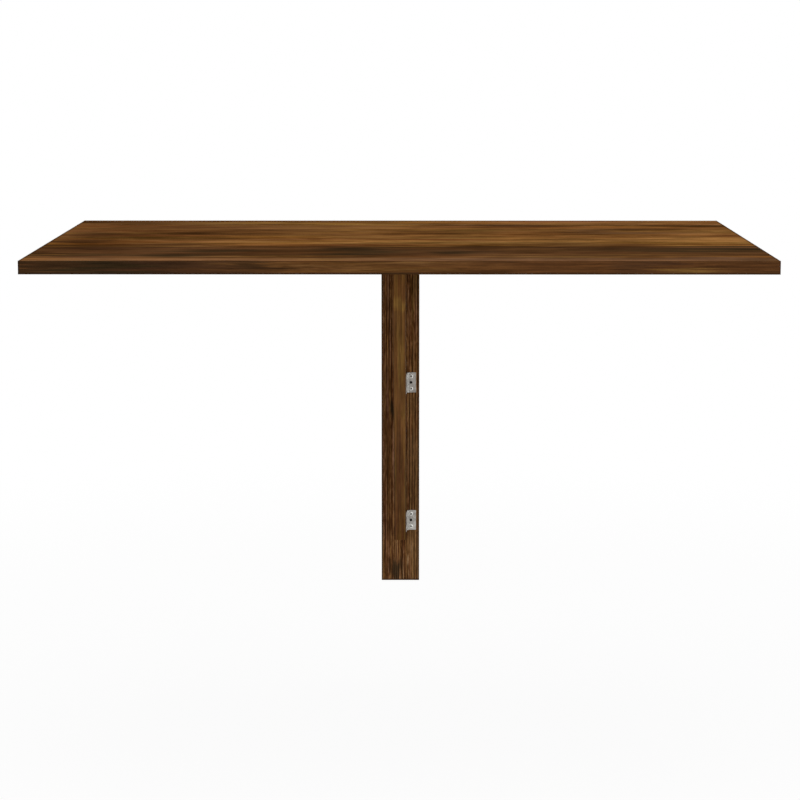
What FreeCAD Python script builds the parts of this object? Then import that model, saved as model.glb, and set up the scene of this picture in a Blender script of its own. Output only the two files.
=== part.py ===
"""Wall mounted drop leaf table in banded board, in millimetres.

X runs along the wall, the wall's face is the plane y = 0, the table reaches out to -Y and +Z is up.
The origin lies on the wall, halfway along the wall rail and at the middle of its height.
A rail and a post are screwed to the wall, a narrow shelf is fixed on the rail, a wide leaf is hinged
to the shelf's front edge, and a support panel hinged to the post swings out to carry the leaf.
"""
import FreeCAD, Part
import math
import os

Vec = FreeCAD.Vector
X = Vec(1, 0, 0)
Y = Vec(0, 1, 0)
Z = Vec(0, 0, 1)

# ---------------------------------------------------------------- driving dimensions
# Boards
TABLE_WIDTH = 1000.0            # along the wall
TABLE_DEPTH = 600.0             # from the wall to the leaf's front edge
BOARD_THICKNESS = 18.0
SHELF_DEPTH = 75.0              # the fixed strip of the top, next to the wall
LEAF_GAP = 1.5                  # open joint between the shelf and the leaf
BAND_THICKNESS = 1.0            # edge band
ARRIS = 0.5                     # bevel on the bands' outer edges
RAIL_LENGTH = 940.0
RAIL_HEIGHT = 60.0
POST_WIDTH = 60.0
POST_BELOW_SUPPORT = 71.0       # from the support's foot to the post's foot

# Support panel
SUPPORT_NOSE_SETBACK = 100.0    # from the leaf's front edge to the nose
SUPPORT_HEIGHT = 482.0          # at its rear edge
SUPPORT_NOSE = 53.0             # height of its upright front edge
SUPPORT_FOOT = 22.0             # depth of its flat foot
SUPPORT_CORNER_RADIUS = 4.0
SUPPORT_UNDER_HINGES = 2.6      # between its top edge and the leaf hinges' knuckles that pass over it
SUPPORT_STOP_GAP = 0.3          # between its rear edge and the post it stops against
PAD_LENGTH = 30.0
PAD_WIDTH = 12.0
PAD_BEVEL = 1.5
PAD_SETBACK = 30.0              # from the nose to the pad's middle
PAD_CLEARANCE = 0.3             # between the pad and the leaf

# Butt hinge with rolled knuckles
HINGE_LENGTH = 32.0
HINGE_LEAF_WIDTH = 13.5         # from the pin's middle to the leaf's free edge
HINGE_PLATE_THICKNESS = 1.0
HINGE_PIN_DIAMETER = 2.0
HINGE_RUNNING_CLEARANCE = 0.05  # all round the pin, in the knuckle that turns on it
HINGE_KNUCKLE_GAP = 0.2         # between knuckles, along the pin
HINGE_NOTCH_CLEARANCE = 0.3     # between a leaf's notch and the other leaf's knuckle
HINGE_SWAGE = 0.3               # the leaf's set below its knuckle, which keeps the barrel off the board
HINGE_SWAGE_LENGTH = 1.2
HINGE_CURL_END = 20.0           # degrees below level where the rolled sheet stops
HINGE_HOLE_DIAMETER = 3.5
HINGE_HOLE_WALL = 1.35          # metal left between a notch and a hole
HINGE_HOLE_PITCH = 10.0         # the screwed holes are two of these apart
TOP_HINGE_INSET = 17.0          # from the support's top edge to the top hinge's middle
LOWER_HINGE_INSET = 28.0        # from the support's foot to the lower hinge's middle
MIDDLE_HINGE_RISE = 4.5         # of the middle hinge over the halfway point of the other two
LEAF_HINGE_COUNT = 3
LEAF_HINGE_INSET = 100.0        # from the table's ends to the outer hinges' middles

# Holes for the wall screws
WALL_HOLE_DIAMETER = 6.0
WALL_HOLE_INSET = 40.0          # from the rail's ends to its outer wall holes
POST_WALL_HOLE_INSET = 90.0     # from the rail's lower edge to the post's upper wall hole
POST_WALL_HOLE_PITCH = 280.0

# Dowels between the rail and the shelf
DOWEL_DIAMETER = 8.0
DOWEL_LENGTH = 30.0
DOWEL_IN_SHELF = 12.0           # the rest of it is in the rail
DOWEL_END_ROOM = 0.5            # hole left past each end of a dowel

# ---------------------------------------------------------------- places worked out from them
UNDERSIDE = RAIL_HEIGHT / 2
TOP = UNDERSIDE + BOARD_THICKNESS
RAIL_FOOT = -RAIL_HEIGHT / 2
POST_FACE = -BOARD_THICKNESS
BOARD_MIDDLE = -BOARD_THICKNESS / 2
LEAF_REAR = -SHELF_DEPTH - LEAF_GAP
LEAF_FRONT = -TABLE_DEPTH
HALF_WIDTH = TABLE_WIDTH / 2

PIN_RADIUS = HINGE_PIN_DIAMETER / 2
KNUCKLE_RADIUS = PIN_RADIUS + HINGE_RUNNING_CLEARANCE + HINGE_PLATE_THICKNESS
PIN_HEIGHT = KNUCKLE_RADIUS + HINGE_SWAGE            # of the pin's middle over the board
KNUCKLE_LENGTH = HINGE_LENGTH / 3 - HINGE_KNUCKLE_GAP * 2 / 3
HINGE_NOTCH = KNUCKLE_RADIUS + HINGE_NOTCH_CLEARANCE
HINGE_HOLE_OFFSET = HINGE_NOTCH + HINGE_HOLE_WALL + HINGE_HOLE_DIAMETER / 2

SUPPORT_FACE = BOARD_THICKNESS / 2                   # the side of the panel that carries its hinges
SUPPORT_TOP = UNDERSIDE - PIN_HEIGHT - KNUCKLE_RADIUS - SUPPORT_UNDER_HINGES
SUPPORT_BOTTOM = SUPPORT_TOP - SUPPORT_HEIGHT
SUPPORT_REAR = POST_FACE - SUPPORT_STOP_GAP
SUPPORT_TIP = LEAF_FRONT + SUPPORT_NOSE_SETBACK
POST_FOOT = SUPPORT_BOTTOM - POST_BELOW_SUPPORT
SUPPORT_PIN = Vec(SUPPORT_FACE + PIN_HEIGHT, POST_FACE - PIN_HEIGHT, 0)
LEAF_PIN = Vec(0, -SHELF_DEPTH - LEAF_GAP / 2, UNDERSIDE - PIN_HEIGHT)

TOP_HINGE = SUPPORT_TOP - TOP_HINGE_INSET
LOWER_HINGE = SUPPORT_BOTTOM + LOWER_HINGE_INSET
MIDDLE_HINGE = (TOP_HINGE + LOWER_HINGE) / 2 + MIDDLE_HINGE_RISE

OUTER_HOLE = RAIL_LENGTH / 2 - WALL_HOLE_INSET
INNER_HOLE = OUTER_HOLE / 2
OUTER_DOWEL = (INNER_HOLE + OUTER_HOLE) / 2          # out of the wall screws' way
RAIL_HOLE_X = (-OUTER_HOLE, -INNER_HOLE, INNER_HOLE, OUTER_HOLE)
DOWEL_X = (-OUTER_DOWEL, 0, OUTER_DOWEL)
POST_HOLE_Z = [RAIL_FOOT - POST_WALL_HOLE_INSET - row * POST_WALL_HOLE_PITCH for row in (0, 1)]

TOUCHING = 0.01                 # lengths closer than this are alike


# ---------------------------------------------------------------- helpers
def block(x0, x1, y0, y1, z0, z1):
    """A box between two corners."""
    return Part.makeBox(x1 - x0, y1 - y0, z1 - z0, Vec(x0, y0, z0))


def hole(diameter, at, direction, depth):
    """A cylinder for drilling, from a point into a board."""
    return Part.makeCylinder(diameter / 2, depth, at, direction)


def bevelled(band, outward, along):
    """An edge band with the bevel on its outer face's edges that run along the given directions."""
    outer = max(band.Faces, key=lambda face: face.CenterOfMass.dot(outward))
    edges = []
    for edge in outer.Edges:
        run = (edge.Vertexes[1].Point - edge.Vertexes[0].Point).normalize()
        if any(run.cross(direction).Length < TOUCHING for direction in along):
            edges.append(edge)
    return band.makeChamfer(ARRIS, edges)


def drilled(board, holes):
    """A piece with its holes or notches cut, as one solid."""
    return board.cut(holes).Solids[0]


# ---------------------------------------------------------------- hinges
def hinge_profile(bore):
    """One leaf's section across the pin: the flat plate, its swage and the knuckle rolled round the bore."""
    outer = KNUCKLE_RADIUS
    back = -PIN_HEIGHT
    front = back + HINGE_PLATE_THICKNESS
    start = -90
    end = start - 270 - HINGE_CURL_END
    half_way = (start + end) / 2

    def at(radius, degrees):
        angle = math.radians(degrees)
        return Vec(radius * math.cos(angle), radius * math.sin(angle), 0)

    bottom_in = at(bore, start)
    bottom_out = at(outer, start)
    edges = [
        Part.Arc(bottom_in, at(bore, half_way), at(bore, end)).toShape(),
        Part.makeLine(at(bore, end), at(outer, end)),
        Part.Arc(at(outer, end), at(outer, half_way), bottom_out).toShape(),
        Part.makeLine(bottom_out, Vec(HINGE_SWAGE_LENGTH, back, 0)),
        Part.makeLine(Vec(HINGE_SWAGE_LENGTH, back, 0), Vec(HINGE_LEAF_WIDTH, back, 0)),
        Part.makeLine(Vec(HINGE_LEAF_WIDTH, back, 0), Vec(HINGE_LEAF_WIDTH, front, 0)),
        Part.makeLine(Vec(HINGE_LEAF_WIDTH, front, 0), Vec(HINGE_SWAGE_LENGTH, front, 0)),
        Part.makeLine(Vec(HINGE_SWAGE_LENGTH, front, 0), bottom_in),
    ]
    return Part.Face(Part.Wire(edges))


def hinge_leaf(knuckles, bore, hole_rows):
    """A leaf along Z about its pin, its plate out along +X and its mounting side at -Y.

    knuckles lists which thirds of the length the leaf keeps its rolled knuckle on, -1, 0 or 1, and
    hole_rows the rows of the plate that are drilled, in the same way.
    """
    leaf = hinge_profile(bore).extrude(Vec(0, 0, HINGE_LENGTH))
    leaf.translate(Vec(0, 0, -HINGE_LENGTH / 2))
    cuts = []
    step = KNUCKLE_LENGTH + HINGE_KNUCKLE_GAP
    for third in (-1, 0, 1):
        if third not in knuckles:
            low = third * step - KNUCKLE_LENGTH / 2 - HINGE_KNUCKLE_GAP
            high = third * step + KNUCKLE_LENGTH / 2 + HINGE_KNUCKLE_GAP
            cuts.append(block(-HINGE_NOTCH, HINGE_NOTCH, -PIN_HEIGHT, HINGE_NOTCH, low, high))
    for row in hole_rows:
        back = Vec(HINGE_HOLE_OFFSET, -PIN_HEIGHT, row * HINGE_HOLE_PITCH)
        cuts.append(hole(HINGE_HOLE_DIAMETER, back, Y, HINGE_PLATE_THICKNESS))
    return drilled(leaf, cuts)


class HingeSide:
    """Where one leaf of a hinge lies: its pin's middle, its plate's direction and its board's normal."""

    def __init__(self, pin, plate, normal):
        self.pin = pin
        self.along = plate.cross(normal)
        self.turn = FreeCAD.Rotation(plate, normal, self.along, "XYZ")

    def leaf(self, knuckles, bore, hole_rows):
        shape = hinge_leaf(knuckles, bore, hole_rows)
        shape.Placement = FreeCAD.Placement(self.pin, self.turn)
        return shape

    def pin_rod(self):
        """The pin, which ends flush with the knuckles."""
        return hole(HINGE_PIN_DIAMETER, self.pin - self.along * (HINGE_LENGTH / 2), self.along, HINGE_LENGTH)


def support_hinges():
    """Name to the wall side and the panel side of each hinge between the frame and the support."""
    hinges = {}
    for name, height in (("top", TOP_HINGE), ("middle", MIDDLE_HINGE), ("lower", LOWER_HINGE)):
        pin = SUPPORT_PIN + Z * height
        hinges[name] = (HingeSide(pin, X, -Y), HingeSide(pin, -Y, X))
    return hinges


def leaf_hinges():
    """Number to the shelf side and the leaf side of each hinge along the shelf's front edge."""
    first = -HALF_WIDTH + LEAF_HINGE_INSET
    pitch = -2 * first / (LEAF_HINGE_COUNT - 1)
    hinges = {}
    for number in range(LEAF_HINGE_COUNT):
        pin = LEAF_PIN + X * (first + number * pitch)
        hinges[str(number + 1)] = (HingeSide(pin, Y, -Z), HingeSide(pin, -Y, -Z))
    return hinges


def hinge_nodes():
    """Leaves and pins; a pin is tight in the fixed leaf and free in the moving one."""
    nodes = {}
    free_bore = PIN_RADIUS + HINGE_RUNNING_CLEARANCE
    families = (("support_hinge", support_hinges(), "wall", "panel", (-1, 0, 1)),
                ("leaf_hinge", leaf_hinges(), "shelf", "table", (-1, 1)))
    for family, hinges, fixed_name, moving_name, hole_rows in families:
        for name, (fixed, moving) in hinges.items():
            nodes[f"{family}_{name}_{fixed_name}_leaf"] = fixed.leaf((-1, 1), PIN_RADIUS, hole_rows)
            nodes[f"{family}_{name}_{moving_name}_leaf"] = moving.leaf((0,), free_bore, hole_rows)
            nodes[f"{family}_{name}_pin"] = fixed.pin_rod()
    return nodes


# ---------------------------------------------------------------- dowels
def dowels(end_room):
    """The dowels upright across the rail's joint with the shelf, or their holes with room at the ends."""
    foot = UNDERSIDE + DOWEL_IN_SHELF - DOWEL_LENGTH - end_room
    length = DOWEL_LENGTH + 2 * end_room
    return [hole(DOWEL_DIAMETER, Vec(x, BOARD_MIDDLE, foot), Z, length) for x in DOWEL_X]


# ---------------------------------------------------------------- boards that stay on the wall
def wall_hole(x, z):
    """A through hole for a wall screw."""
    return hole(WALL_HOLE_DIAMETER, Vec(x, POST_FACE, z), Y, BOARD_THICKNESS)


def rail_nodes():
    """The rail under the shelf, with bands on its ends and its lower edge."""
    end = RAIL_LENGTH / 2
    core_end = end - BAND_THICKNESS
    core_foot = RAIL_FOOT + BAND_THICKNESS
    holes = [wall_hole(x, 0) for x in RAIL_HOLE_X] + dowels(DOWEL_END_ROOM)
    core = block(-core_end, core_end, POST_FACE, 0, core_foot, UNDERSIDE)
    lower = block(-core_end, core_end, POST_FACE, 0, RAIL_FOOT, core_foot)
    ends = [bevelled(block(core_end, end, POST_FACE, 0, RAIL_FOOT, UNDERSIDE), X, (Y, Z)),
            bevelled(block(-end, -core_end, POST_FACE, 0, RAIL_FOOT, UNDERSIDE), -X, (Y, Z))]
    return {
        "wall_rail": drilled(core, holes),
        "rail_end_bands": Part.makeCompound(ends),
        "rail_lower_band": bevelled(lower, -Z, (X,)),
    }


def post_nodes():
    """The post under the rail, with bands on its long edges and its foot."""
    half = POST_WIDTH / 2
    core_half = half - BAND_THICKNESS
    core_foot = POST_FOOT + BAND_THICKNESS
    holes = [wall_hole(0, z) for z in POST_HOLE_Z]
    core = block(-core_half, core_half, POST_FACE, 0, core_foot, RAIL_FOOT)
    foot = block(-half, half, POST_FACE, 0, POST_FOOT, core_foot)
    sides = [bevelled(block(core_half, half, POST_FACE, 0, core_foot, RAIL_FOOT), X, (Z,)),
             bevelled(block(-half, -core_half, POST_FACE, 0, core_foot, RAIL_FOOT), -X, (Z,))]
    return {
        "wall_post": drilled(core, holes),
        "post_side_bands": Part.makeCompound(sides),
        "post_foot_band": bevelled(foot, -Z, (X, Y)),
    }


def shelf_nodes():
    """The fixed strip of the top, with bands on its ends and on the edge that faces the leaf."""
    core_half = HALF_WIDTH - BAND_THICKNESS
    core_front = -SHELF_DEPTH + BAND_THICKNESS
    core = block(-core_half, core_half, core_front, 0, UNDERSIDE, TOP)
    front = block(-HALF_WIDTH, HALF_WIDTH, -SHELF_DEPTH, core_front, UNDERSIDE, TOP)
    ends = [bevelled(block(core_half, HALF_WIDTH, core_front, 0, UNDERSIDE, TOP), X, (Y,)),
            bevelled(block(-HALF_WIDTH, -core_half, core_front, 0, UNDERSIDE, TOP), -X, (Y,))]
    return {
        "fixed_shelf": drilled(core, dowels(DOWEL_END_ROOM)),
        "shelf_end_bands": Part.makeCompound(ends),
        "shelf_front_band": bevelled(front, -Y, (X, Z)),
    }


# ---------------------------------------------------------------- the leaf
def leaf_nodes():
    """The drop leaf, banded on all four edges."""
    core_half = HALF_WIDTH - BAND_THICKNESS
    core_front = LEAF_FRONT + BAND_THICKNESS
    core_rear = LEAF_REAR - BAND_THICKNESS
    core = block(-core_half, core_half, core_front, core_rear, UNDERSIDE, TOP)
    front = block(-HALF_WIDTH, HALF_WIDTH, LEAF_FRONT, core_front, UNDERSIDE, TOP)
    rear = block(-HALF_WIDTH, HALF_WIDTH, core_rear, LEAF_REAR, UNDERSIDE, TOP)
    ends = [bevelled(block(core_half, HALF_WIDTH, core_front, core_rear, UNDERSIDE, TOP), X, (Y,)),
            bevelled(block(-HALF_WIDTH, -core_half, core_front, core_rear, UNDERSIDE, TOP), -X, (Y,))]
    return {
        "leaf_panel": core,
        "leaf_end_bands": Part.makeCompound(ends),
        "leaf_front_band": bevelled(front, -Y, (X, Z)),
        "leaf_rear_band": bevelled(rear, Y, (X, Z)),
    }


# ---------------------------------------------------------------- the support
def support_blank(inset):
    """The support's tapered outline, drawn in by inset all round, with rounded nose and foot corners."""
    nose_foot = SUPPORT_TOP - SUPPORT_NOSE
    outline = [(SUPPORT_REAR, SUPPORT_TOP), (SUPPORT_TIP, SUPPORT_TOP), (SUPPORT_TIP, nose_foot),
               (SUPPORT_REAR - SUPPORT_FOOT, SUPPORT_BOTTOM), (SUPPORT_REAR, SUPPORT_BOTTOM)]
    corners = [Vec(-SUPPORT_FACE, y, z) for y, z in outline]
    face = Part.Face(Part.makePolygon(corners + corners[:1]))
    if inset:
        face = face.makeOffset2D(-inset, join=2)  # 2 keeps the corners sharp
    blank = face.extrude(X * BOARD_THICKNESS)
    below = [edge for edge in across(blank)
             if edge.CenterOfMass.z < (SUPPORT_TOP + nose_foot) / 2
             and edge.CenterOfMass.y < SUPPORT_REAR - SUPPORT_FOOT / 2]
    return blank.makeFillet(SUPPORT_CORNER_RADIUS - inset, below)


def across(blank):
    """The edges of a blank that run through its thickness."""
    return [edge for edge in blank.Edges if edge.BoundBox.XLength > BOARD_THICKNESS / 2]


def support_pad():
    """The bevelled pad on the panel's top edge, which the leaf rests on."""
    middle = SUPPORT_TIP + PAD_SETBACK
    pad = block(-PAD_WIDTH / 2, PAD_WIDTH / 2, middle - PAD_LENGTH / 2, middle + PAD_LENGTH / 2,
                SUPPORT_TOP, UNDERSIDE - PAD_CLEARANCE)
    crown = max(pad.Faces, key=lambda face: face.CenterOfMass.z)
    return pad.makeChamfer(PAD_BEVEL, crown.Edges)


def support_nodes():
    """The support panel, the bands round its edges, and its pad."""
    whole = support_blank(0)
    core = support_blank(BAND_THICKNESS)
    bevels = [edge for edge in whole.Edges
              if edge.BoundBox.XLength < ARRIS
              and edge.CenterOfMass.z < SUPPORT_TOP - ARRIS
              and edge.CenterOfMass.y < SUPPORT_REAR - ARRIS]
    ring = whole.makeChamfer(ARRIS, bevels).cut(core)
    half = BOARD_THICKNESS / 2
    under_top = SUPPORT_TOP - BAND_THICKNESS
    top_part = block(-half, half, SUPPORT_TIP, SUPPORT_REAR, under_top, SUPPORT_TOP)
    rear_part = block(-half, half, SUPPORT_REAR - BAND_THICKNESS, SUPPORT_REAR, SUPPORT_BOTTOM, under_top)
    return {
        "support_panel": core,
        "support_front_band": ring.cut([top_part, rear_part]).Solids[0],
        "support_top_band": ring.common(top_part).Solids[0],
        "support_rear_band": ring.common(rear_part).Solids[0],
        "support_pad": support_pad(),
    }


# ---------------------------------------------------------------- all nodes
def write(nodes):
    """One STEP file for each node."""
    os.makedirs("parts", exist_ok=True)
    for name, shape in nodes.items():
        if not shape.isValid():
            raise ValueError(name + " is not a valid shape")
        shape.exportStep(os.path.join("parts", name + ".step"))


def dowel_nodes():
    """The dowels as one group."""
    return {"shelf_dowels": Part.makeCompound(dowels(0))}


ALL_NODES = {}
for make in (rail_nodes, post_nodes, shelf_nodes, leaf_nodes, support_nodes, hinge_nodes, dowel_nodes):
    ALL_NODES.update(make())
write(ALL_NODES)
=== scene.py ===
"""Looks of the wall mounted drop leaf table, in metres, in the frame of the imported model."""

import math

import bmesh
import bpy
from mathutils import Matrix, Vector

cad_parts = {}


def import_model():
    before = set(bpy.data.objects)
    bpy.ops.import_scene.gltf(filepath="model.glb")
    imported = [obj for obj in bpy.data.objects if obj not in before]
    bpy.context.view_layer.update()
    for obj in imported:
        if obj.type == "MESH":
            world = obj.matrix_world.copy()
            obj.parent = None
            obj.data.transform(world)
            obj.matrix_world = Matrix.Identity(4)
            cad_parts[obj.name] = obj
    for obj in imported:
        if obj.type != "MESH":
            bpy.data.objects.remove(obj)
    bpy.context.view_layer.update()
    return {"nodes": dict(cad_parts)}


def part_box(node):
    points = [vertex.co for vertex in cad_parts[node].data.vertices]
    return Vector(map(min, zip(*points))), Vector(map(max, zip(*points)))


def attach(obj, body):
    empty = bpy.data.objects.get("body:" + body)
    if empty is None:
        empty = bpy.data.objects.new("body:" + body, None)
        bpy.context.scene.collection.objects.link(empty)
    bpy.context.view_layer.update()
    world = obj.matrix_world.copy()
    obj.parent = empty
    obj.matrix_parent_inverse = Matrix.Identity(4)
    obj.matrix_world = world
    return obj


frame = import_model()
NODES = frame["nodes"]

MM = 0.001


def middle(node):
    low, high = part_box(node)
    return (low + high) / 2


# ---------------------------------------------------------------- places read from the frame
TOP_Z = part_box("fixed_shelf")[1].z
UNDERSIDE_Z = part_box("fixed_shelf")[0].z
HALF_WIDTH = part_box("leaf_end_bands")[1].x
POST_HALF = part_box("post_side_bands")[1].x
POST_FACE_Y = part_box("wall_post")[0].y
POST_LOW_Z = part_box("post_foot_band")[0].z
PANEL_SIDE_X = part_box("support_panel")[1].x
NOSE_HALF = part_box("support_front_band")[1].x
SUPPORT_PINS = {part: middle(f"support_hinge_{part}_pin") for part in ("top", "middle", "lower")}
LEAF_PINS = {number: middle(f"leaf_hinge_{number}_pin") for number in (1, 2, 3)}

# ---------------------------------------------------------------- hinge plates and their screws
PLATE_THICKNESS = 1.0 * MM
SCREW_OFFSET = 5.45 * MM      # from the hinge pin to the screws
SCREW_ROW = 10.0 * MM         # from the hinge's middle to each screw
BEVEL_SHADE_R = 2.15 * MM           # painted shadow of the countersunk bevel round a plate's empty middle hole
PILOT_SHADE_R = 1.9 * MM            # painted shade of the pilot hole in the board behind it
SHANK_R = 1.6 * MM
SHANK_TAPER = 0.9             # of the shank's radius and length, at its end
HEAD_R = 3.4 * MM
HEAD_RISE = 0.70 * MM
HEAD_CROWN = 0.45 * MM        # the domed part of the rise
HEAD_SEAT = 0.02 * MM         # height of the head's underside over the plate
HEAD_SEAT_SHARE = 0.95        # its radius, as a share of the head's
HEAD_RIM = 0.08 * MM          # height of the widest ring
HEAD_RINGS = (0.985, 0.82, 0.62, 0.47)    # radii on the dome, as shares of the head's
RECESS_ARM = 1.60 * MM
RECESS_HALF_WIDTH = 0.62 * MM
RECESS_RINGS = ((1.0, 0.02 * MM), (0.92, 0.12 * MM), (0.7, 0.60 * MM))    # share, depth
RING_ANGLES = (0.12, 0.42)    # further directions in each eighth of a turn, in radians
# how far the cross of the first screw in each kind of leaf is turned, in radians
WALL_TURN, PANEL_TURN, SHELF_TURN, TABLE_TURN = 0.3, 0.9, 0.5, 1.1

# ---------------------------------------------------------------- grain
# the grain's direction, then the one across it on the face that shows most
GRAIN_ORDER = {"XY": ("X", "Y", "Z"), "XZ": ("X", "Z", "Y"), "YZ": ("Y", "Z", "X"),
               "ZX": ("Z", "X", "Y"), "ZY": ("Z", "Y", "X")}
SEED_ACROSS = 0.37            # a seed's shift across the grain, as a share of the one along it
NOISE_MOST = (0.3, 0.7)       # what a noise mostly lies between
SWING_GAIN = 6.0              # takes that to -1 and 1
TONE_STOPS = (0.1, 0.5, 0.9)  # where the dark, middle and light tones lie
# changes in a metre, along the grain and across it
DRIFT_CHANGES = (6.0, 24.0)           # of the lines' sideways drift
RIB_SWAY_CHANGES = (1.6, 75.0)
RIB_PATCH_CHANGES = (11.0, 150.0)
PORE_CHANGES = (70.0, 1500.0)
FRAY_CHANGES = (3.0, 170.0)           # of the fibres at a figure's ends
# changes in a streak's length and in its width
FLECK_CHANGES = (2.4, 2.2)
HUE_CHANGES = (0.36, 1.1)
TINT_CHANGES = (0.5, 1.5)
# changes in a metre along the grain, and in a streak's width across it
SLOW_CHANGES = (1.8, 0.3)
BEND_CHANGES = (2.6, 1.8)
FIBRE_CHANGES = (4.0, 1.3)            # in a streak's length, and in a fibre's width
# the noise where each begins and is full, and what the range becomes
RIB_RANGE = (0.32, 0.60, 0.0, 1.0)
PORE_RANGE = (0.62, 0.72, 0.0, 0.35)
FLECK_RANGE = (0.58, 0.72, 0.0, 0.25)
FIGURE_GRAIN = (0.45, 1.55)   # brightness inside a figure, from dark grain to light
HUE_RANGE = (-0.9, 0.9)       # from the first row of tones to the second, and from warm to cool
TINT_PARTS = (0.2, -0.04, -1.0)       # change of red, green and blue in a warm tint
RIB_PITCH = 3.9 * MM
RIB_SWAY = 2.4                # radians
FRAY_REACH = (3.4, 0.7, 0.0)  # how far fibres shift a figure's outline, in its half sizes
BEND_REACH = (2.4, 1.8, 0.0)  # and how far streaks do
FIGURE_END = 1.15             # where a figure ends, in its half sizes
OAK_ROUGHNESS = 0.60
FIBRE_GLOSS = 0.07            # how much the fibres change that
OAK_RELIEF = 0.12 * MM
# the painted shade of holes and of the bevels round them
HOLE_SHADE_TONE = (18, 15, 13)
SPOT_SOFT = 0.08              # of a dark spot's radius, to each side of its outline
SPOT_DEPTH = 0.5              # weight of the distance into the board, which keeps it to a face

# ---------------------------------------------------------------- nickel
BRUSHED_SHARE = 0.45          # of the brushing in the tone; the rest is clouds
NICKEL_STOPS = (0.32, 0.68)   # where the dark and light tones lie
DULLER, GLOSSIER = 0.1, 0.08  # how much rougher the dark parts are, and how much less the light
NICKEL_RELIEF = 0.02 * MM

# ---------------------------------------------------------------- surroundings
FLOOR_BELOW_TOP = 0.75
FLOOR_HALF = 9.0
FLOOR_GREYS = ((0.87, 0.87, 0.87, 1.0), (0.89, 0.89, 0.89, 1.0))
FLOOR_FADE = (0.6, 1.9, 0.93, 1.0)    # distances, and how white the floor is seen at them
SKY_STRENGTH = 0.55
WHITE_STRENGTH = 1.0
# name, place, the point it faces, side of its square, power in watts
LAMPS = (("left", (-1.9, -2.6, -0.1), (0.0, -0.1, -0.2), 1.6, 34.0),
         ("right", (1.9, -2.6, -0.1), (0.0, -0.1, -0.2), 1.6, 34.0),
         ("overhead", (0.0, -0.5, 2.4), (0.0, -0.3, 0.0), 2.0, 30.0))
CAMERA_PLACE = (0.0105, -3.4581, 0.3534)
CAMERA_DOWN, CAMERA_LEFT = 7.642, 0.1864    # degrees
CAMERA_SENSOR, CAMERA_LENS = 36.0, 98.72    # millimetres
CAMERA_SHIFT = -0.10
CAMERA_FAR = 60.0


def linear(r, g, b):
    """A display colour, 0 to 255, as the linear colour that the shaders take."""
    def one(v):
        v /= 255.0
        return v / 12.92 if v <= 0.04045 else ((v + 0.055) / 1.055) ** 2.4
    return (one(r), one(g), one(b), 1.0)


def new_object(name, data):
    piece = bpy.data.objects.new(name, data)
    bpy.context.scene.collection.objects.link(piece)
    return piece


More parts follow.
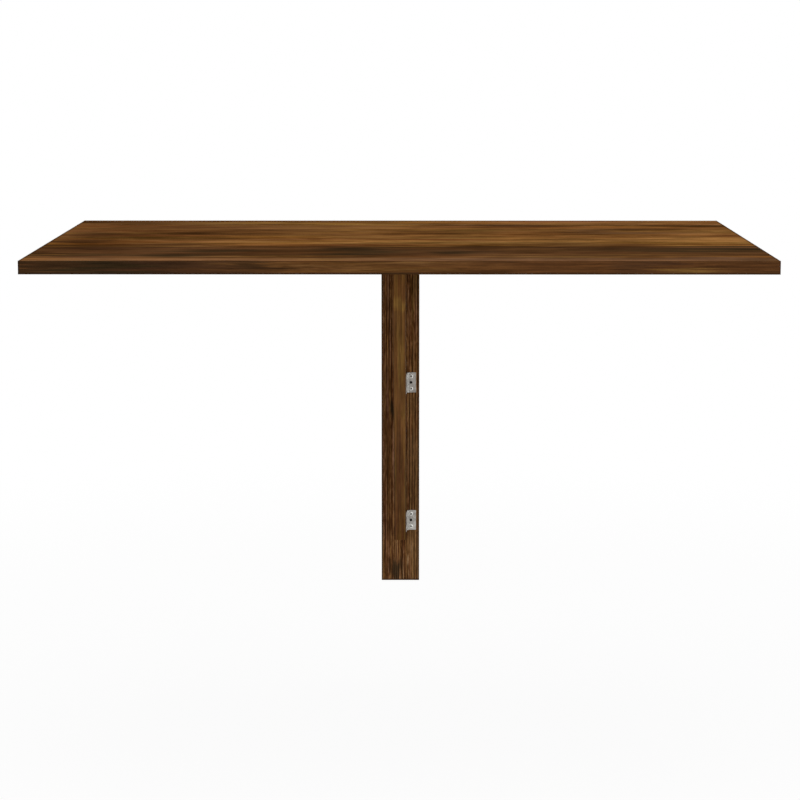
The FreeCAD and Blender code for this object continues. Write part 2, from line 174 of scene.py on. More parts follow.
class Tree:
    """A material's nodes, with short calls for the ones used here."""

    def __init__(self, name):
        self.material = bpy.data.materials.new(name)
        self.material.use_nodes = True
        self.nodes = self.material.node_tree.nodes
        self.links = self.material.node_tree.links
        self.nodes.clear()
        self.output = self.nodes.new("ShaderNodeOutputMaterial")

    def put(self, socket, value):
        """Link a socket or set its value; None leaves it as it is."""
        if isinstance(value, bpy.types.NodeSocket):
            self.links.new(value, socket)
        elif value is not None:
            socket.default_value = value

    def place(self):
        """Object coordinates, in metres."""
        return self.nodes.new("ShaderNodeTexCoord").outputs["Object"]

    def apart(self, vector):
        node = self.nodes.new("ShaderNodeSeparateXYZ")
        self.put(node.inputs[0], vector)
        return node.outputs

    def joined(self, *values):
        node = self.nodes.new("ShaderNodeCombineXYZ")
        for socket, value in zip(node.inputs, values):
            self.put(socket, value)
        return node.outputs[0]

    def math(self, operation, a, b=None):
        node = self.nodes.new("ShaderNodeMath")
        node.operation = operation
        self.put(node.inputs[0], a)
        self.put(node.inputs[1], b)
        return node.outputs[0]

    def vector(self, operation, a, b=None):
        node = self.nodes.new("ShaderNodeVectorMath")
        node.operation = operation
        self.put(node.inputs[0], a)
        self.put(node.inputs[1], b)
        return node.outputs["Value" if operation == "LENGTH" else "Vector"]

    def scaled(self, vector, factor):
        node = self.nodes.new("ShaderNodeVectorMath")
        node.operation = "SCALE"
        self.put(node.inputs[0], vector)
        self.put(node.inputs["Scale"], factor)
        return node.outputs["Vector"]

    def noise(self, place, changes, detail=2.0, roughness=0.5, color=False):
        """Noise with this many changes in a metre along the grain and across it."""
        along, across = changes
        node = self.nodes.new("ShaderNodeTexNoise")
        self.put(node.inputs["Vector"], self.vector("MULTIPLY", place, (along, across, across)))
        node.inputs["Scale"].default_value = 1.0
        node.inputs["Detail"].default_value = detail
        node.inputs["Roughness"].default_value = roughness
        return node.outputs["Color" if color else "Fac"]

    def swing(self, place, changes, detail, roughness=0.55):
        """Noise as a number that mostly stays between -1 and 1."""
        value = self.noise(place, changes, detail, roughness)
        return self.math("MULTIPLY", self.math("SUBTRACT", value, 0.5), SWING_GAIN)

    def spread(self, value, low, high, to_low=0.0, to_high=1.0, smooth=False):
        node = self.nodes.new("ShaderNodeMapRange")
        node.interpolation_type = "SMOOTHSTEP" if smooth else "LINEAR"
        node.clamp = True
        self.put(node.inputs["Value"], value)
        for name, number in (("From Min", low), ("From Max", high),
                             ("To Min", to_low), ("To Max", to_high)):
            node.inputs[name].default_value = number
        return node.outputs["Result"]

    def mix(self, factor, a, b, blend="MIX"):
        node = self.nodes.new("ShaderNodeMix")
        node.data_type = "RGBA"
        node.blend_type = blend
        self.put(node.inputs["Factor"], factor)
        self.put(node.inputs[6], a)
        self.put(node.inputs[7], b)
        return node.outputs[2]

    def ramp(self, value, places, colors):
        node = self.nodes.new("ShaderNodeValToRGB")
        self.put(node.inputs[0], value)
        elements = node.color_ramp.elements
        while len(elements) < len(places):
            elements.new(0.5)
        for element, place, color in zip(elements, places, colors):
            element.position = place
            element.color = color
        return node.outputs["Color"]

    def bump(self, height, distance, strength):
        node = self.nodes.new("ShaderNodeBump")
        node.inputs["Strength"].default_value = strength
        node.inputs["Distance"].default_value = distance
        self.put(node.inputs["Height"], height)
        return node.outputs["Normal"]

    def shader(self, color, roughness, normal, metallic=0.0, specular=0.5):
        node = self.nodes.new("ShaderNodeBsdfPrincipled")
        self.put(node.inputs["Base Color"], color)
        self.put(node.inputs["Roughness"], roughness)
        self.put(node.inputs["Normal"], normal)
        node.inputs["Metallic"].default_value = metallic
        node.inputs["Specular IOR Level"].default_value = specular
        self.put(self.output.inputs["Surface"], node.outputs[0])


# ---------------------------------------------------------------- parts of a material
def grain_space(tree, grain, seed):
    """Coordinates as (along the grain, across it, into the board), and the same with a seed."""
    axes = tree.apart(tree.place())
    place = tree.joined(*[axes[axis] for axis in GRAIN_ORDER[grain]])
    return place, tree.vector("ADD", place, (seed, seed * SEED_ACROSS, 0.0))


def drifting(tree, place, wander):
    """Coordinates whose lines drift sideways within a width of about wander."""
    wave = tree.math("SUBTRACT", tree.noise(place, DRIFT_CHANGES), 0.5)
    return tree.vector("ADD", place, tree.joined(0.0, tree.math("MULTIPLY", wave, wander), 0.0))


def rib_lines(tree, seeded, warped):
    """Fine even ribs, from -1 to 1, that sway a little and come and go in patches."""
    sway = tree.math("MULTIPLY", tree.swing(seeded, RIB_SWAY_CHANGES, detail=2.0), RIB_SWAY)
    turns = tree.math("MULTIPLY", tree.apart(warped)["Y"], 2 * math.pi / RIB_PITCH)
    patches = tree.spread(tree.noise(warped, RIB_PATCH_CHANGES), *RIB_RANGE)
    return tree.math("MULTIPLY", tree.math("SINE", tree.math("ADD", turns, sway)), patches)


def outline_shift(tree, warped, pitch):
    """What frays the ends of the figures into fibres and bends their sides with the streaks."""
    def shift(changes, reach):
        noise = tree.noise(warped, changes, detail=3.0, roughness=0.6, color=True)
        return tree.vector("MULTIPLY", tree.vector("SUBTRACT", noise, (0.5, 0.5, 0.5)), reach)
    bend = shift((BEND_CHANGES[0], BEND_CHANGES[1] / pitch), BEND_REACH)
    return tree.vector("ADD", shift(FRAY_CHANGES, FRAY_REACH), bend)


def figure(tree, color, place, outline, grained, spot):
    """One soft patch that keeps the grain: its middle and its half sizes, along and across the
    grain in metres, its tone, its strength, and the share of it that has the full strength."""
    (along, across), (half_along, half_across), tone, strength, core = spot
    moved = tree.vector("SUBTRACT", place, (along, across, 0.0))
    sized = tree.vector("MULTIPLY", moved, (1.0 / half_along, 1.0 / half_across, 0.0))
    far = tree.vector("LENGTH", tree.vector("ADD", sized, outline))
    factor = tree.spread(far, FIGURE_END, core, 0.0, strength, smooth=True)
    return tree.mix(factor, color, tree.scaled(linear(*tone)[:3], grained))


def shade(tree, color, axes, row):
    """Another tone towards an edge: axis, where it starts, where it is full, tone, strength."""
    axis, clear, full, tone, strength = row
    factor = tree.spread(axes[axis], clear, full, 0.0, strength, smooth=True)
    return tree.mix(factor, color, linear(*tone))


def painted_hole_shade(tree, color, place, spot):
    """A dark round spot on one face, painted shade in a hole or on the bevel round one: its middle
    in the grain's axes, and its radius.
    """
    centre, radius = spot
    moved = tree.vector("SUBTRACT", place, centre)
    far = tree.vector("LENGTH", tree.vector("MULTIPLY", moved, (1.0, 1.0, SPOT_DEPTH)))
    factor = tree.spread(far, radius * (1 + SPOT_SOFT), radius * (1 - SPOT_SOFT))
    return tree.mix(factor, color, linear(*HOLE_SHADE_TONE))


def oak(name, grain, tones, seed, broad=0.10, streak=0.20, fibre=0.12, ribs=0.10, tint=0.0,
        pitch=0.022, run=0.22, fibre_pitch=0.0020, wander=0.012, depth=1.0, specular=0.06,
        figures=(), shades=(), hole_shades=()):
    """Smoked oak.

    broad, streak, fibre, ribs and tint: strengths of the slow changes of tone, the streaks, the
    fibres, the ribs, and the warm and cool tints. pitch, run, fibre_pitch and wander: a streak's
    width and length, a fibre's width and the lines' drift, in metres. depth: how fast the grain
    changes into the board, as a share of how fast it changes across it.
    """
    tree = Tree(name)
    place, seeded = grain_space(tree, grain, seed)
    seeded = tree.vector("MULTIPLY", seeded, (1.0, 1.0, depth))
    warped = drifting(tree, seeded, wander)

    def streaky(changes):
        return changes[0] / run, changes[1] / pitch

    slow = tree.swing(warped, (SLOW_CHANGES[0], SLOW_CHANGES[1] / pitch), detail=2.0)
    lines = tree.swing(warped, streaky((1.0, 1.0)), detail=4.0, roughness=0.6)
    fine = tree.swing(warped, (FIBRE_CHANGES[0] / run, FIBRE_CHANGES[1] / fibre_pitch),
                      detail=3.0, roughness=0.6)
    pores = tree.spread(tree.noise(warped, PORE_CHANGES, detail=1.0), *PORE_RANGE, smooth=True)
    flecks = tree.spread(tree.noise(warped, streaky(FLECK_CHANGES), detail=3.0, roughness=0.6),
                         *FLECK_RANGE, smooth=True)
    value = tree.math("ADD", tree.math("MULTIPLY", slow, broad), 0.5)
    for layer in (tree.math("MULTIPLY", rib_lines(tree, seeded, warped), ribs), flecks,
                  tree.math("MULTIPLY", lines, streak), tree.math("MULTIPLY", fine, fibre)):
        value = tree.math("ADD", value, layer)

    hue = tree.spread(tree.swing(seeded, streaky(HUE_CHANGES), detail=3.0), *HUE_RANGE)
    ramps = [tree.ramp(value, TONE_STOPS, [linear(*tone) for tone in row]) for row in tones]
    color = tree.mix(hue, *ramps)
    warmth = tree.spread(tree.swing(seeded, streaky(TINT_CHANGES), detail=3.0), *HUE_RANGE)
    warm, cool = [(*[1.0 + part * t for part in TINT_PARTS], 1.0) for t in (tint, -tint)]
    color = tree.mix(1.0, color, tree.mix(warmth, warm, cool), "MULTIPLY")

    outline = outline_shift(tree, warped, pitch)
    grained = tree.spread(value, TONE_STOPS[0], TONE_STOPS[-1], *FIGURE_GRAIN)
    for spot in figures:
        color = figure(tree, color, place, outline, grained, spot)
    color = tree.mix(pores, color, linear(*tones[0][0]))
    axes = tree.apart(tree.place())
    for row in shades:
        color = shade(tree, color, axes, row)
    # painted shade of pilot holes
    for spot in hole_shades:
        color = painted_hole_shade(tree, color, place, spot)

    rough = tree.spread(fine, -1.0, 1.0, OAK_ROUGHNESS + FIBRE_GLOSS, OAK_ROUGHNESS - FIBRE_GLOSS)
    height = tree.math("SUBTRACT", tree.math("MULTIPLY", fine, 0.5), pores)
    tree.shader(color, rough, tree.bump(height, OAK_RELIEF, 0.6), specular=specular)
    return tree.material


def beech():
    tree = Tree("beech_dowel")
    _, seeded = grain_space(tree, "YZ", 0.7)
    fine = tree.noise(seeded, (60.0, 900.0), detail=3.0, roughness=0.6)
    color = tree.ramp(fine, NOISE_MOST, [linear(186, 148, 102), linear(222, 190, 146)])
    rough = tree.spread(fine, *NOISE_MOST, 0.62, 0.5)
    tree.shader(color, rough, tree.bump(fine, 0.1 * MM, 0.5), specular=0.2)
    return tree.material


def pad_plastic():
    tree = Tree("pad_plastic")
    _, seeded = grain_space(tree, "XY", 0.9)
    grit = tree.noise(seeded, (1500.0, 1500.0))
    color = tree.ramp(grit, NOISE_MOST, [linear(44, 34, 28), linear(66, 52, 44)])
    rough = tree.spread(grit, *NOISE_MOST, 0.58, 0.44)
    tree.shader(color, rough, tree.bump(grit, 0.05 * MM, 0.4), specular=0.4)
    return tree.material


def nickel(name, dark, light, roughness, grain="ZX", metallic=1.0, bevel_shades=()):
    """Nickel plated steel: fine brushing and cloudy plating, and painted shadow on the bevels
    round empty holes.
    """
    tree = Tree(name)
    place, seeded = grain_space(tree, grain, 0.4)
    brushed = tree.noise(seeded, (300.0, 2600.0), roughness=0.6)
    cloud = tree.noise(seeded, (180.0, 180.0), detail=3.0, roughness=0.55)
    value = tree.math("ADD", tree.math("MULTIPLY", brushed, BRUSHED_SHARE),
                      tree.math("MULTIPLY", cloud, 1.0 - BRUSHED_SHARE))
    color = tree.ramp(value, NICKEL_STOPS, [linear(*dark), linear(*light)])
    # painted shadow on the countersunk bevels
    for spot in bevel_shades:
        color = painted_hole_shade(tree, color, place, spot)
    rough = tree.spread(value, *NOISE_MOST, roughness + DULLER, roughness - GLOSSIER)
    tree.shader(color, rough, tree.bump(brushed, NICKEL_RELIEF, 0.4), metallic=metallic)
    return tree.material


def paint(material, *names):
    for name in names:
        slots = NODES[name].material_slots
        for slot in slots:
            slot.material = material
        if not slots:
            NODES[name].data.materials.append(material)


# ---------------------------------------------------------------- wood
# each wood has a red-brown and an olive-brown row of three tones: dark, middle, light
TOP_TONES = (((70, 37, 14), (108, 63, 31), (142, 91, 53)),
             ((65, 43, 13), (112, 77, 35), (148, 110, 58)))
# the post's tones are lighter than its own colour, painted light that makes up for the shade of
# the top and the support panel; the rail takes them too
POST_TONES = (((46, 18, 2), (88, 49, 24), (150, 108, 78)),
              ((44, 24, 2), (92, 61, 25), (150, 116, 70)))
EDGE_TONES = (((42, 22, 8), (76, 45, 22), (104, 68, 38)),
              ((46, 28, 10), (82, 55, 24), (108, 78, 42)))
NOSE_TONES = (((58, 30, 10), (84, 50, 23), (107, 71, 38)),
              ((57, 39, 9), (86, 60, 24), (111, 81, 38)))
TRIM_TONES = (((36, 19, 8), (62, 39, 20), (88, 60, 35)),
              ((36, 25, 9), (62, 45, 22), (88, 67, 36)))

# the tones that the grain's figures take
TAR = (36, 26, 12)
SOOT = (45, 29, 14)
EBONY = (48, 35, 20)
COCOA = (53, 33, 19)
UMBER = (62, 39, 21)
SEPIA = (69, 42, 20)
DUSK = (72, 51, 33)
RUSSET = (78, 48, 24)
MOSS = (84, 64, 22)
WALNUT = (82, 53, 28)
TAUPE = (90, 63, 43)
BRONZE = (96, 63, 32)
OLIVE = (102, 75, 35)
CHESTNUT = (116, 77, 40)
RUST = (106, 65, 24)
MAUVE = (106, 76, 52)
TAN = (113, 84, 50)
COPPER = (128, 86, 42)
HONEY = (134, 95, 49)
SAND = (130, 100, 70)
AMBER = (154, 108, 58)
DARK_BAND = (66, 43, 25)
# painted highlight behind the leaf's front arris
ARRIS_HIGHLIGHT = (114, 79, 50)

# middle and half sizes along and across the grain in metres, tone, strength, share that has it
LEAF_FIGURES = [
    ((-0.300, -0.150), (0.340, 0.160), WALNUT, 0.68, 0.40),
    ((0.280, -0.220), (0.340, 0.170), HONEY, 0.30, 0.40),
    ((0.310, -0.112), (0.240, 0.030), RUST, 0.50, 0.40),
    ((0.300, -0.445), (0.320, 0.060), UMBER, 0.50, 0.40),
    ((0.00, -0.484), (1.40, 0.082), DARK_BAND, 0.82, 0.72),
    ((-0.435, -0.254), (0.070, 0.022), RUSSET, 0.60, 0.40),
    ((-0.300, -0.200), (0.075, 0.040), SEPIA, 0.80, 0.30),
    ((-0.345, -0.133), (0.085, 0.014), SEPIA, 0.60, 0.40),
    ((-0.450, -0.426), (0.120, 0.036), COCOA, 0.84, 0.40),
    ((-0.300, -0.535), (0.065, 0.022), EBONY, 0.90, 0.50),
    ((-0.215, -0.470), (0.120, 0.032), EBONY, 0.92, 0.50),
    ((-0.060, -0.478), (0.080, 0.060), EBONY, 0.94, 0.60),
    ((-0.150, -0.485), (0.090, 0.045), SEPIA, 0.70, 0.40),
    ((0.110, -0.480), (0.060, 0.040), TAUPE, 0.50, 0.40),
    ((0.080, -0.492), (0.036, 0.020), EBONY, 0.88, 0.50),
    ((0.160, -0.468), (0.065, 0.050), WALNUT, 0.70, 0.40),
    ((0.115, -0.165), (0.050, 0.050), OLIVE, 0.50, 0.30),
    ((0.180, -0.092), (0.115, 0.020), UMBER, 0.80, 0.40),
    ((0.090, -0.121), (0.080, 0.012), RUSSET, 0.50, 0.40),
    ((-0.160, -0.158), (0.120, 0.022), WALNUT, 0.65, 0.40),
    ((0.370, -0.113), (0.042, 0.016), COPPER, 0.50, 0.40),
    ((0.355, -0.151), (0.060, 0.017), UMBER, 0.70, 0.40),
    ((0.150, -0.150), (0.075, 0.014), WALNUT, 0.50, 0.40),
    ((0.290, -0.128), (0.045, 0.012), WALNUT, 0.50, 0.40),
    ((-0.235, -0.212), (0.050, 0.012), CHESTNUT, 0.50, 0.40),
    ((-0.040, -0.258), (0.062, 0.022), BRONZE, 0.50, 0.40),
    ((-0.468, -0.228), (0.055, 0.034), UMBER, 0.70, 0.40),
    ((-0.255, -0.302), (0.150, 0.022), SEPIA, 0.64, 0.40),
    ((-0.455, -0.338), (0.060, 0.034), COCOA, 0.72, 0.40),
    ((-0.345, -0.386), (0.095, 0.024), UMBER, 0.62, 0.40),
    ((0.218, -0.380), (0.090, 0.030), UMBER, 0.68, 0.40),
    ((0.310, -0.317), (0.180, 0.028), AMBER, 0.72, 0.40),
    ((-0.042, -0.340), (0.088, 0.027), AMBER, 0.70, 0.40),
    ((-0.430, -0.527), (0.095, 0.020), EBONY, 0.62, 0.40),
    ((0.230, -0.555), (0.120, 0.014), TAN, 0.55, 0.40),
    ((0.065, -0.245), (0.060, 0.013), HONEY, 0.55, 0.40),
    ((0.270, -0.250), (0.060, 0.011), HONEY, 0.45, 0.40),
    ((0.440, -0.098), (0.110, 0.018), SEPIA, 0.85, 0.40),
    ((0.345, -0.208), (0.110, 0.024), DUSK, 0.85, 0.30),
    ((0.290, -0.170), (0.060, 0.020), TAUPE, 0.60, 0.30),
    ((0.325, -0.392), (0.060, 0.036), RUSSET, 0.82, 0.50),
    ((0.420, -0.450), (0.130, 0.052), EBONY, 0.93, 0.50),
    ((0.435, -0.300), (0.095, 0.068), AMBER, 0.72, 0.30),
    ((0.417, -0.562), (0.050, 0.026), TAUPE, 0.70, 0.40),
    ((-0.205, -0.374), (0.110, 0.027), COPPER, 0.60, 0.30),
    ((0.055, -0.355), (0.080, 0.028), HONEY, 0.55, 0.30),
    ((0.200, -0.300), (0.110, 0.030), COPPER, 0.50, 0.30),
    # painted highlight: the light line behind the front arris, and the tones that vary it along
    # its length
    ((-0.26, -0.584), (0.66, 0.026), ARRIS_HIGHLIGHT, 0.90, 0.60),
    ((0.30, -0.580), (0.36, 0.024), MAUVE, 0.80, 0.60),
    ((0.430, -0.577), (0.080, 0.026), TAUPE, 0.75, 0.50),
    ((-0.430, -0.565), (0.070, 0.018), TAUPE, 0.60, 0.40),
    ((0.085, -0.582), (0.065, 0.018), TAUPE, 0.62, 0.40),
    ((-0.110, -0.582), (0.050, 0.018), OLIVE, 0.50, 0.40),
    ((0.475, -0.582), (0.045, 0.024), DUSK, 0.72, 0.40),
]
SHELF_FIGURES = [
    ((-0.400, -0.034), (0.200, 0.036), UMBER, 0.80, 0.40),
    ((-0.260, -0.060), (0.120, 0.018), WALNUT, 0.45, 0.40),
    ((0.020, -0.020), (0.210, 0.016), HONEY, 0.50, 0.40),
    ((0.310, -0.052), (0.080, 0.016), BRONZE, 0.50, 0.40),
    ((0.440, -0.018), (0.110, 0.018), AMBER, 0.70, 0.40),
]
EDGE_FIGURES = [
    ((-0.400, 0.039), (0.20, 0.05), SOOT, 0.93, 0.60),
    ((-0.370, 0.040), (0.065, 0.03), TAR, 0.90, 0.40),
    ((-0.300, 0.037), (0.070, 0.02), COCOA, 0.80, 0.40),
    ((-0.235, 0.034), (0.090, 0.02), UMBER, 0.75, 0.40),
    ((-0.195, 0.042), (0.030, 0.006), SOOT, 0.75, 0.40),
    ((0.160, 0.039), (0.15, 0.05), SEPIA, 0.84, 0.60),
    ((0.176, 0.040), (0.030, 0.012), SEPIA, 0.75, 0.40),
    ((0.240, 0.038), (0.090, 0.05), SEPIA, 0.80, 0.50),
    ((0.400, 0.039), (0.15, 0.05), SEPIA, 0.84, 0.60),
    ((0.298, 0.040), (0.034, 0.010), UMBER, 0.80, 0.40),
    ((0.335, 0.044), (0.040, 0.005), COCOA, 0.70, 0.40),
    ((0.385, 0.036), (0.060, 0.0035), OLIVE, 0.70, 0.40),
    ((0.455, 0.040), (0.080, 0.05), SEPIA, 0.76, 0.40),
]
POST_FIGURES = [
    ((-0.255, -0.021), (0.40, 0.011), SEPIA, 0.40, 0.60),
    # painted shade: darkens the post's foot below the support panel, where the panel casts no
    # shade on it
    ((-0.490, 0.000), (0.060, 0.060), SEPIA, 0.62, 0.60),
    ((-0.200, 0.0200), (0.160, 0.0130), BRONZE, 0.30, 0.40),
    ((-0.485, 0.0210), (0.065, 0.0130), TAN, 0.52, 0.40),
    ((-0.318, -0.0190), (0.048, 0.0060), BRONZE, 0.50, 0.40),
    ((-0.516, -0.0165), (0.018, 0.0045), SOOT, 0.70, 0.40),
    ((-0.511, -0.006), (0.019, 0.0080), EBONY, 0.94, 0.60),
    ((-0.247, -0.0135), (0.015, 0.0045), TAR, 0.92, 0.40),
    ((-0.300, 0.0218), (0.013, 0.0030), SOOT, 0.88, 0.40),
    ((-0.240, 0.0190), (0.022, 0.0110), TAN, 0.50, 0.40),
    ((-0.312, 0.0190), (0.022, 0.0100), MAUVE, 0.45, 0.40),
    ((-0.350, 0.0200), (0.110, 0.0130), TAN, 0.68, 0.40),
    ((-0.045, 0.0240), (0.050, 0.0100), MOSS, 0.50, 0.30),
    ((-0.511, 0.0046), (0.024, 0.0013), SAND, 0.85, 0.40),
    ((-0.476, 0.0178), (0.016, 0.0013), SAND, 0.85, 0.40),
    ((-0.497, 0.0116), (0.010, 0.0014), SAND, 0.85, 0.40),
    ((-0.521, 0.0132), (0.010, 0.0013), SAND, 0.85, 0.40),
    ((-0.466, -0.0148), (0.016, 0.0012), TAN, 0.75, 0.40),
]
NOSE_FIGURES = [
    ((-0.021, 0.0), (0.010, 0.012), OLIVE, 0.70, 0.50),
    ((0.002, 0.006), (0.018, 0.004), RUSSET, 0.60, 0.40),
    ((-0.045, -0.005), (0.022, 0.003), SEPIA, 0.60, 0.40),
    ((-0.115, -0.001), (0.090, 0.0035), OLIVE, 0.50, 0.25),
    ((-0.180, 0.0), (0.032, 0.012), BRONZE, 0.60, 0.25),
    ((-0.250, 0.0), (0.036, 0.012), BRONZE, 0.60, 0.25),
]

# tones painted towards the boards' edges; on the fin's bevels and along the front band's lower
# edge they are painted shade
END_SHADE = (56, 36, 18)
WALL_SHADE = (66, 42, 20)
POST_RIGHT, POST_LEFT, POST_FOOT = (88, 64, 41), (90, 72, 49), (44, 26, 16)
# painted shade on the fin's front bevels, which catch the lamps
NOSE_RIGHT_SHADE, NOSE_LEFT_SHADE = (58, 36, 17), (54, 34, 16)
# the first is painted shade along the front band's lower edge, where it meets the underside
FRONT_LOW_SHADE, FRONT_HIGH = (34, 22, 11), (62, 39, 20)
FRONT_RIGHT, FRONT_LEFT = (60, 34, 19), (34, 23, 14)


def near(axis, edge, inward, clear, full, tone, strength):
    """A shade's row, with its start and its full strength in millimetres inward of the edge."""
    return (axis, edge + inward * clear * MM, edge + inward * full * MM, tone, strength)


def both_sides(half, clear, full, right, left, strength):
    return [near("X", half, -1, clear, full, right, strength),
            near("X", -half, 1, clear, full, left, strength)]


end_shades = both_sides(HALF_WIDTH, 5, 1, END_SHADE, END_SHADE, 0.7)
wall_shades = [near("Y", 0.0, -1, 24, 8, WALL_SHADE, 0.6)]
post_shades = both_sides(POST_HALF, 3, 1, POST_RIGHT, POST_LEFT, 0.8)
post_shades += [near("Z", POST_LOW_Z, 1, 4, 1, POST_FOOT, 0.8)]
# painted shade on the fin's bevels
nose_shades = both_sides(NOSE_HALF, 1.8, 0.5, NOSE_RIGHT_SHADE, NOSE_LEFT_SHADE, 0.8)
# the first row is painted shade along the lower edge
front_shades = [near("Z", UNDERSIDE_Z, 1, 3.2, 1.4, FRONT_LOW_SHADE, 0.7),
                near("Z", TOP_Z, -1, 2.0, 0.4, FRONT_HIGH, 0.25)]
front_shades += both_sides(HALF_WIDTH, 3, 1.4, FRONT_RIGHT, FRONT_LEFT, 0.7)

# the empty middle holes of the support's hinge leaves, in the grain's axes of what shows them
wall_holes = [(pin.z, pin.x + SCREW_OFFSET, POST_FACE_Y) for pin in SUPPORT_PINS.values()]
panel_holes = [(pin.z, pin.y - SCREW_OFFSET, PANEL_SIDE_X) for pin in SUPPORT_PINS.values()]
hole_z, hole_x, hole_y = wall_holes[0]
# painted shade of the pilot holes behind the empty middle holes
post_hole_shades = [(hole, PILOT_SHADE_R) for hole in wall_holes[1:]]
rail_hole_shades = [((hole_x, hole_z, hole_y), PILOT_SHADE_R)]
panel_hole_shades = [(hole, PILOT_SHADE_R) for hole in panel_holes]

TOP_GRAIN = dict(broad=0.17, streak=0.33, fibre=0.26, ribs=0.27, tint=0.24, pitch=0.036,
                 run=0.15, wander=0.005, specular=0.0)
TRIM_GRAIN = dict(ribs=0.20, pitch=0.006, wander=0.002, specular=0.03)

paint(oak("smoked_oak_leaf", "XY", TOP_TONES, 1.3, **TOP_GRAIN,
          figures=LEAF_FIGURES, shades=end_shades),
      "leaf_panel")
paint(oak("smoked_oak_shelf", "XY", TOP_TONES, 4.1, **TOP_GRAIN,
          figures=SHELF_FIGURES, shades=end_shades + wall_shades),
      "fixed_shelf")
paint(oak("smoked_oak_front_band", "XZ", EDGE_TONES, 7.7, broad=0.12, streak=0.20, fibre=0.16,
          tint=0.18, pitch=0.005, run=0.12, fibre_pitch=0.0016, wander=0.003, specular=0.02,
          figures=EDGE_FIGURES, shades=front_shades),
      "leaf_front_band")
paint(oak("smoked_oak_post", "ZX", POST_TONES, 2.9, broad=0.08, streak=0.20, fibre=0.24,
          ribs=0.37, tint=0.26, pitch=0.0040, run=0.05, fibre_pitch=0.0016, wander=0.0015,
          specular=0.03, figures=POST_FIGURES, shades=post_shades, hole_shades=post_hole_shades),
      "wall_post")
paint(oak("smoked_oak_side_band", "ZY", TRIM_TONES, 5.2, **TRIM_GRAIN),
      "post_side_bands", "rail_end_bands", "support_rear_band")
paint(oak("smoked_oak_cross_band", "XZ", TRIM_TONES, 6.4, **TRIM_GRAIN),
      "leaf_rear_band", "shelf_front_band", "post_foot_band", "rail_lower_band")
paint(oak("smoked_oak_end_band", "YZ", TRIM_TONES, 3.3, **TRIM_GRAIN),
      "leaf_end_bands", "shelf_end_bands", "support_top_band")
paint(oak("smoked_oak_rail", "XZ", POST_TONES, 8.8, ribs=0.30, pitch=0.012, wander=0.003,
          hole_shades=rail_hole_shades),
      "wall_rail")
paint(oak("smoked_oak_support", "ZY", TOP_TONES, 9.4, broad=0.14, streak=0.24, fibre=0.22,
          ribs=0.34, tint=0.24, pitch=0.020, run=0.16, wander=0.004, hole_shades=panel_hole_shades),
      "support_panel")
paint(oak("smoked_oak_support_band", "ZX", NOSE_TONES, 2.2, broad=0.16, streak=0.22, fibre=0.08,
          pitch=0.004, run=0.08, wander=0.003, depth=0.02, specular=0.03,
          figures=NOSE_FIGURES, shades=nose_shades),
      "support_front_band")

# ---------------------------------------------------------------- steel, beech and plastic
PLATE = ((136, 134, 129), (190, 187, 182), 0.45)    # dark tone, light tone, roughness
plate_metal = nickel("satin_nickel_plate", *PLATE)
# these two plates take painted shadow on the bevels round their empty middle holes
wall_plate = nickel("satin_nickel_wall_plate", *PLATE,
                    bevel_shades=[(hole, BEVEL_SHADE_R) for hole in wall_holes])
panel_plate = nickel("satin_nickel_panel_plate", *PLATE, "ZY",
                     bevel_shades=[(hole, BEVEL_SHADE_R) for hole in panel_holes])
pin_metal = nickel("drawn_steel_pin", (120, 118, 114), (178, 176, 172), 0.3)
screw_metal = nickel("nickel_screw", (202, 203, 199), (228, 228, 224), 0.5, "XY", metallic=0.6)
# painted shade in the screws' cross recesses
recess_shade_metal = nickel("screw_recess_painted_shade", (62, 61, 58), (98, 97, 93), 0.6, "XY")
paint(plate_metal, *[n for n in NODES if n.endswith(("_shelf_leaf", "_table_leaf"))])
paint(wall_plate, *[n for n in NODES if n.endswith("_wall_leaf")])
paint(panel_plate, *[n for n in NODES if n.endswith("_panel_leaf")])
paint(pin_metal, *[n for n in NODES if n.endswith("_pin")])
paint(beech(), "shelf_dowels")
paint(pad_plastic(), "support_pad")


# ---------------------------------------------------------------- screws
def cross_radius(angle):
    """Distance from the middle to the outline of the recess's cross in one direction."""
    tiny = 1e-9
    c, s = max(abs(math.cos(angle)), tiny), max(abs(math.sin(angle)), tiny)
    return max(min(RECESS_ARM / c, RECESS_HALF_WIDTH / s),
               min(RECESS_ARM / s, RECESS_HALF_WIDTH / c))


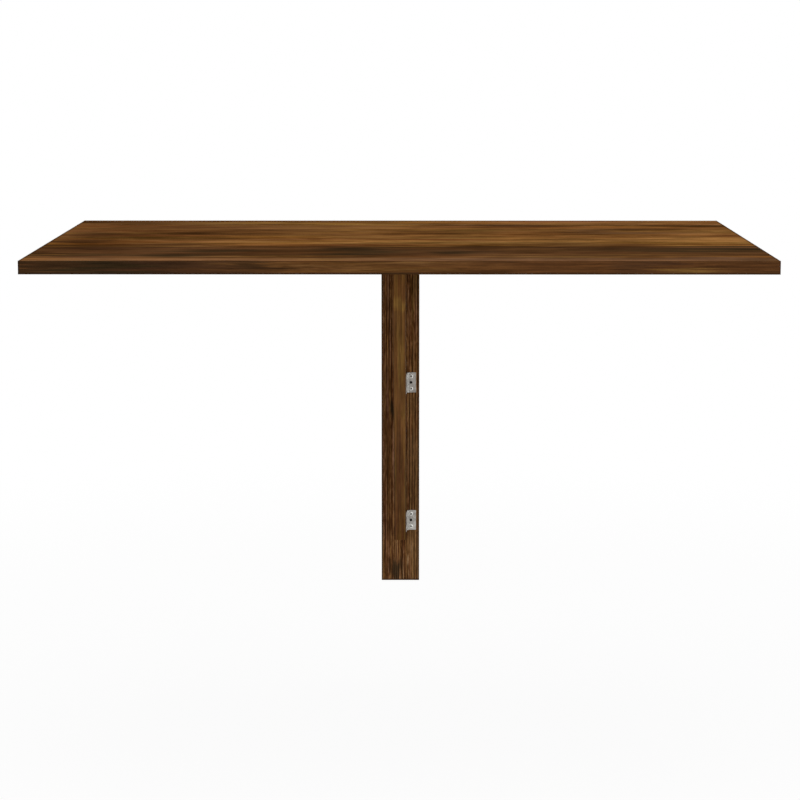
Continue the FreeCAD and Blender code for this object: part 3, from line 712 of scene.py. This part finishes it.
def screw_mesh():
    """A raised head with a cross recess, and the shank as deep as the plate, along +Z."""
    corner = math.atan2(RECESS_HALF_WIDTH, RECESS_ARM)
    eighth = sorted((*RING_ANGLES, corner))
    quarter = [0.0, *eighth, math.pi / 4, *[math.pi / 2 - a for a in reversed(eighth)]]
    angles = [round(q * math.pi / 2 + a, 9) for q in range(4) for a in quarter]
    ball = (HEAD_R ** 2 + HEAD_CROWN ** 2) / (2 * HEAD_CROWN)

    def dome(r):
        return HEAD_RISE - ball + math.sqrt(ball ** 2 - r ** 2)

    def turn(radius, z):
        return [(radius * math.cos(a), radius * math.sin(a), z) for a in angles]

    def cross(share, depth):
        ring = []
        for a in angles:
            r = cross_radius(a) * share
            ring.append((r * math.cos(a), r * math.sin(a), dome(r) - depth))
        return ring

    rings = [turn(SHANK_R * SHANK_TAPER, -PLATE_THICKNESS),
             turn(SHANK_R, -PLATE_THICKNESS * SHANK_TAPER), turn(SHANK_R, HEAD_SEAT),
             turn(HEAD_R * HEAD_SEAT_SHARE, HEAD_SEAT), turn(HEAD_R, HEAD_RIM)]
    rings += [turn(HEAD_R * share, dome(HEAD_R * share)) for share in HEAD_RINGS]
    rings += [cross(share, depth) for share, depth in RECESS_RINGS]
    mesh = bmesh.new()
    made = [[mesh.verts.new(p) for p in ring] for ring in rings]
    n = len(angles)
    recess_from = len(made) - len(RECESS_RINGS)
    for level, (low, high) in enumerate(zip(made, made[1:])):
        for i in range(n):
            face = mesh.faces.new((low[i], low[(i + 1) % n], high[(i + 1) % n], high[i]))
            # the recess faces take the second material, the painted shade
            face.material_index = int(level >= recess_from)
    mesh.faces.new(made[0][::-1])
    mesh.faces.new(made[-1]).material_index = 1
    for face in mesh.faces:
        face.smooth = True
    return mesh


def screw(name, place, outward, body, turn):
    data = bpy.data.meshes.new(name)
    mesh = screw_mesh()
    facing = Vector(outward).to_track_quat("Z", "Y").to_matrix().to_4x4()
    mesh.transform(Matrix.Translation(place) @ (facing @ Matrix.Rotation(turn, 4, "Z")))
    bmesh.ops.recalc_face_normals(mesh, faces=mesh.faces)
    mesh.to_mesh(data)
    mesh.free()
    data.materials.append(screw_metal)
    data.materials.append(recess_shade_metal)
    piece = new_object(name, data)
    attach(piece, body)


def all_screws():
    """Two screws in each hinge leaf, each pair's crosses turned a radian further."""
    count = 0
    sides = list(enumerate((-SCREW_ROW, SCREW_ROW)))
    for part, pin in SUPPORT_PINS.items():
        for side, row in sides:
            wall = (pin.x + SCREW_OFFSET, POST_FACE_Y - PLATE_THICKNESS, pin.z + row)
            screw(f"screw_{part}_wall_{side}", wall, (0, -1, 0), "wall_frame", WALL_TURN + count)
            panel = (PANEL_SIDE_X + PLATE_THICKNESS, pin.y - SCREW_OFFSET, pin.z + row)
            screw(f"screw_{part}_panel_{side}", panel, (1, 0, 0), "support", PANEL_TURN + count)
            count += 1
    for number, pin in LEAF_PINS.items():
        for side, row in sides:
            for leaf, way, body, turn in (("shelf", 1, "wall_frame", SHELF_TURN),
                                          ("table", -1, "drop_leaf", TABLE_TURN)):
                place = (pin.x + row, pin.y + way * SCREW_OFFSET, UNDERSIDE_Z - PLATE_THICKNESS)
                screw(f"screw_leaf_{number}_{leaf}_{side}", place, (0, 0, -1), body, turn + count)
            count += 1


all_screws()


# ---------------------------------------------------------------- floor, light and camera
def seen_directly(nodes, links):
    """1 for rays from the camera, or by way of gloss or glass, and otherwise 0."""
    path = nodes.new("ShaderNodeLightPath")
    total = path.outputs["Is Camera Ray"]
    for name in ("Is Glossy Ray", "Is Transmission Ray"):
        node = nodes.new("ShaderNodeMath")
        node.operation = "MAXIMUM"
        links.new(total, node.inputs[0])
        links.new(path.outputs[name], node.inputs[1])
        total = node.outputs[0]
    return total


def floor():
    """A pale floor that takes the shadow near the object and is plain white far from it."""
    tree = Tree("floor_pale")
    place = tree.place()
    diffuse = tree.nodes.new("ShaderNodeBsdfDiffuse")
    greys = tree.ramp(tree.noise(place, (3.0, 3.0), detail=3.0), NOISE_MOST, FLOOR_GREYS)
    tree.put(diffuse.inputs["Color"], greys)
    white = tree.nodes.new("ShaderNodeEmission")
    white.inputs["Strength"].default_value = WHITE_STRENGTH
    far = tree.vector("LENGTH", tree.vector("MULTIPLY", place, (1.0, 1.0, 0.0)))
    share = tree.spread(far, *FLOOR_FADE, smooth=True)
    blend = tree.nodes.new("ShaderNodeMixShader")
    tree.put(blend.inputs[0],
             tree.math("MULTIPLY", seen_directly(tree.nodes, tree.links), share))
    tree.put(blend.inputs[1], diffuse.outputs[0])
    tree.put(blend.inputs[2], white.outputs[0])
    tree.put(tree.output.inputs["Surface"], blend.outputs[0])
    z = TOP_Z - FLOOR_BELOW_TOP
    data = bpy.data.meshes.new("floor")
    data.from_pydata([(-FLOOR_HALF, -FLOOR_HALF, z), (FLOOR_HALF, -FLOOR_HALF, z),
                      (FLOOR_HALF, FLOOR_HALF, z), (-FLOOR_HALF, FLOOR_HALF, z)],
                     [], [(0, 1, 2, 3)])
    data.materials.append(tree.material)
    piece = new_object("floor", data)


def world():
    """Plain white to look at, and a softer white as light."""
    sky = bpy.data.worlds.new("studio")
    sky.use_nodes = True
    nodes, links = sky.node_tree.nodes, sky.node_tree.links
    nodes.clear()
    blend, output = nodes.new("ShaderNodeMixShader"), nodes.new("ShaderNodeOutputWorld")
    links.new(seen_directly(nodes, links), blend.inputs[0])
    for socket, strength in zip(blend.inputs[1:], (SKY_STRENGTH, WHITE_STRENGTH)):
        light = nodes.new("ShaderNodeBackground")
        light.inputs["Color"].default_value = (1.0, 1.0, 1.0, 1.0)
        light.inputs["Strength"].default_value = strength
        links.new(light.outputs[0], socket)
    links.new(blend.outputs[0], output.inputs["Surface"])
    bpy.context.scene.world = sky


def lamp(name, place, target, size, power):
    data = bpy.data.lights.new(name, "AREA")
    data.shape = "SQUARE"
    data.size = size
    data.energy = power
    piece = new_object(name, data)
    piece.location = place
    piece.rotation_euler = (Vector(target) - Vector(place)).to_track_quat("-Z", "Y").to_euler()


def camera():
    """The photograph's view: from in front, slightly above the table."""
    data = bpy.data.cameras.new("camera")
    data.sensor_width = CAMERA_SENSOR
    data.lens = CAMERA_LENS
    data.shift_y = CAMERA_SHIFT
    data.clip_end = CAMERA_FAR
    piece = new_object("camera", data)
    piece.location = CAMERA_PLACE
    piece.rotation_euler = (math.radians(90 - CAMERA_DOWN), 0.0, math.radians(CAMERA_LEFT))
    bpy.context.scene.camera = piece


floor()
world()
for row in LAMPS:
    lamp(*row)
camera()
bpy.context.scene.view_settings.view_transform = "Standard"
